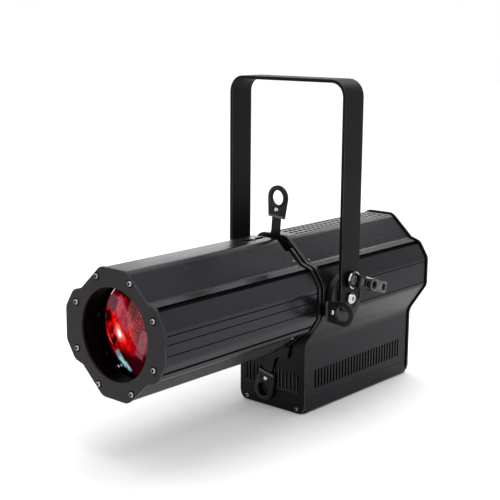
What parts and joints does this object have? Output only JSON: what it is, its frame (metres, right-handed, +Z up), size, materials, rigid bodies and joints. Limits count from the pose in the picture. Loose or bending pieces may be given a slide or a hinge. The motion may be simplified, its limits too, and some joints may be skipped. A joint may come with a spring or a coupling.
{
  "type": "led profile spotlight",
  "caption": "LED profile stage spotlight: lobed lens tube, framing shutters with ring grips, vented lamp housing and a tilting hanging yoke with clamp levers.",
  "frame": {"origin": "centre of the housing's flat base, between its two end plates", "axes": "+Z up, towards the yoke's hanging bar; -Y is where the lens looks, along the tube; +X completes the frame, on the right seen from behind the lens"},
  "size_m": [0.267, 0.5498, 0.441],
  "materials": {
    "anodised_black": "satin black anodised extrusion and plate",
    "bare_aluminium": "bare aluminium",
    "black_plastic": "moulded black plastic",
    "blade_steel": "heat-darkened blackened steel",
    "board_green": "solder-masked circuit board",
    "bright_steel": "bright zinc-plated steel",
    "display_black": "dark display window",
    "front_grey": "satin dark grey anodised plate",
    "gloss_black": "glossy moulded black plastic",
    "grip_black": "heat-resistant textured black grip",
    "led_red": "lit red LED array",
    "lens_glass": "coated glass, lit red",
    "powder_black": "fine-textured matt black powder coat"
  },
  "bodies": {
    "housing": {"front_plate": "front_grey", "lens_tube": "anodised_black", "tube_rear_plate": "anodised_black", "housing_front_plate": "anodised_black", "lamp_housing": "anodised_black", "top_grille": "anodised_black", "housing_rear_plate": "anodised_black", "bottom_cover": "powder_black", "barrel_liner": "black_plastic", "condenser_lens": "lens_glass", "led_emitter": "led_red", "led_board": "board_green", "heatsink": "bare_aluminium", "fan_frame": "black_plastic", "power_supply": "bare_aluminium", "control_board": "board_green", "display_window": "display_black", "data_in_socket": "black_plastic", "data_out_socket": "black_plastic", "power_in_socket": "black_plastic", "power_out_socket": "black_plastic", "safety_eye": "bright_steel", "right_tilt_disc": "black_plastic", "left_tilt_disc": "black_plastic", "right_pivot_bolt": "bright_steel", "left_pivot_bolt": "bright_steel", "front_screw_1": "bright_steel", "front_screw_2": "bright_steel", "front_screw_3": "bright_steel", "front_screw_4": "bright_steel", "front_screw_5": "bright_steel", "front_screw_6": "bright_steel", "front_screw_7": "bright_steel", "front_screw_8": "bright_steel"},
    "yoke": {"yoke": "powder_black"},
    "right_clamp_lever": {"right_clamp_lever": "gloss_black"},
    "left_clamp_lever": {"left_clamp_lever": "gloss_black"},
    "focus_carriage": {"front_lens": "lens_glass", "front_lens_carrier": "black_plastic", "front_lens_ring": "powder_black"},
    "focus_knob": {"focus_knob": "black_plastic"},
    "zoom_carriage": {"rear_lens": "lens_glass", "rear_lens_carrier": "black_plastic", "zoom_guide_screw": "bright_steel"},
    "zoom_knob": {"zoom_knob": "black_plastic"},
    "fan_rotor": {"fan_rotor": "black_plastic"},
    "top_shutter": {"top_shutter_blade": "blade_steel", "top_shutter_grip": "grip_black"},
    "bottom_shutter": {"bottom_shutter_blade": "blade_steel", "bottom_shutter_grip": "grip_black"},
    "right_shutter": {"right_shutter_blade": "blade_steel", "right_shutter_grip": "grip_black"},
    "left_shutter": {"left_shutter_blade": "blade_steel", "left_shutter_grip": "grip_black"},
    "menu_button_1": {"menu_button_1": "black_plastic"},
    "menu_button_2": {"menu_button_2": "black_plastic"},
    "menu_button_3": {"menu_button_3": "black_plastic"},
    "menu_button_4": {"menu_button_4": "black_plastic"}
  },
  "joints": [
    {"name": "yoke_tilt", "type": "hinge", "parent": "housing", "child": "yoke", "pos_m": [0, -0.0845, 0.16], "axis": [1, 0, 0], "range_deg": [-95, 45]},
    {"name": "right_clamp_turn", "type": "hinge", "parent": "yoke", "child": "right_clamp_lever", "pos_m": [0.0965, -0.0845, 0.185], "axis": [1, 0, 0], "range_deg": [-30, 60]},
    {"name": "left_clamp_turn", "type": "hinge", "parent": "yoke", "child": "left_clamp_lever", "pos_m": [-0.0965, -0.0845, 0.185], "axis": [1, 0, 0], "range_deg": [-30, 60]},
    {"name": "top_shutter_slide", "type": "slide", "parent": "housing", "child": "top_shutter", "axis": [-0.0785, 0, -0.9969], "range_m": [-0.0155, 0.0195]},
    {"name": "bottom_shutter_slide", "type": "slide", "parent": "housing", "child": "bottom_shutter", "axis": [0.2164, 0, 0.9763], "range_m": [-0.005, 0.027]},
    {"name": "right_shutter_slide", "type": "slide", "parent": "housing", "child": "right_shutter", "axis": [-1, 0, 0], "range_m": [-0.0245, 0.004]},
    {"name": "left_shutter_slide", "type": "slide", "parent": "housing", "child": "left_shutter", "axis": [1, 0, 0], "range_m": [-0.0245, 0.004]},
    {"name": "focus_slide", "type": "slide", "parent": "housing", "child": "focus_carriage", "axis": [0, 1, 0], "range_m": [-0.004, 0.045]},
    {"name": "focus_knob_turn", "type": "hinge", "parent": "focus_carriage", "child": "focus_knob", "pos_m": [-0.08, -0.3585, 0.16], "axis": [1, 0, 0], "range_deg": [0, 180]},
    {"name": "zoom_slide", "type": "slide", "parent": "housing", "child": "zoom_carriage", "axis": [0, 1, 0], "range_m": [-0.008, 0.016]},
    {"name": "zoom_knob_turn", "type": "hinge", "parent": "zoom_carriage", "child": "zoom_knob", "pos_m": [-0.08, -0.1665, 0.16], "axis": [1, 0, 0], "range_deg": [0, 180]},
    {"name": "fan_spin", "type": "hinge", "parent": "housing", "child": "fan_rotor", "pos_m": [0, 0.0235, 0.16], "axis": [0, 1, 0], "continuous": true},
    {"name": "menu_button_1_press", "type": "slide", "parent": "housing", "child": "menu_button_1", "axis": [0, -1, 0], "range_m": [0, 0.001], "stiffness_N_per_m": 400, "springref_m": -0.0005},
    {"name": "menu_button_2_press", "type": "slide", "parent": "housing", "child": "menu_button_2", "axis": [0, -1, 0], "range_m": [0, 0.001], "stiffness_N_per_m": 400, "springref_m": -0.0005},
    {"name": "menu_button_3_press", "type": "slide", "parent": "housing", "child": "menu_button_3", "axis": [0, -1, 0], "range_m": [0, 0.001], "stiffness_N_per_m": 400, "springref_m": -0.0005},
    {"name": "menu_button_4_press", "type": "slide", "parent": "housing", "child": "menu_button_4", "axis": [0, -1, 0], "range_m": [0, 0.001], "stiffness_N_per_m": 400, "springref_m": -0.0005}
  ]
}
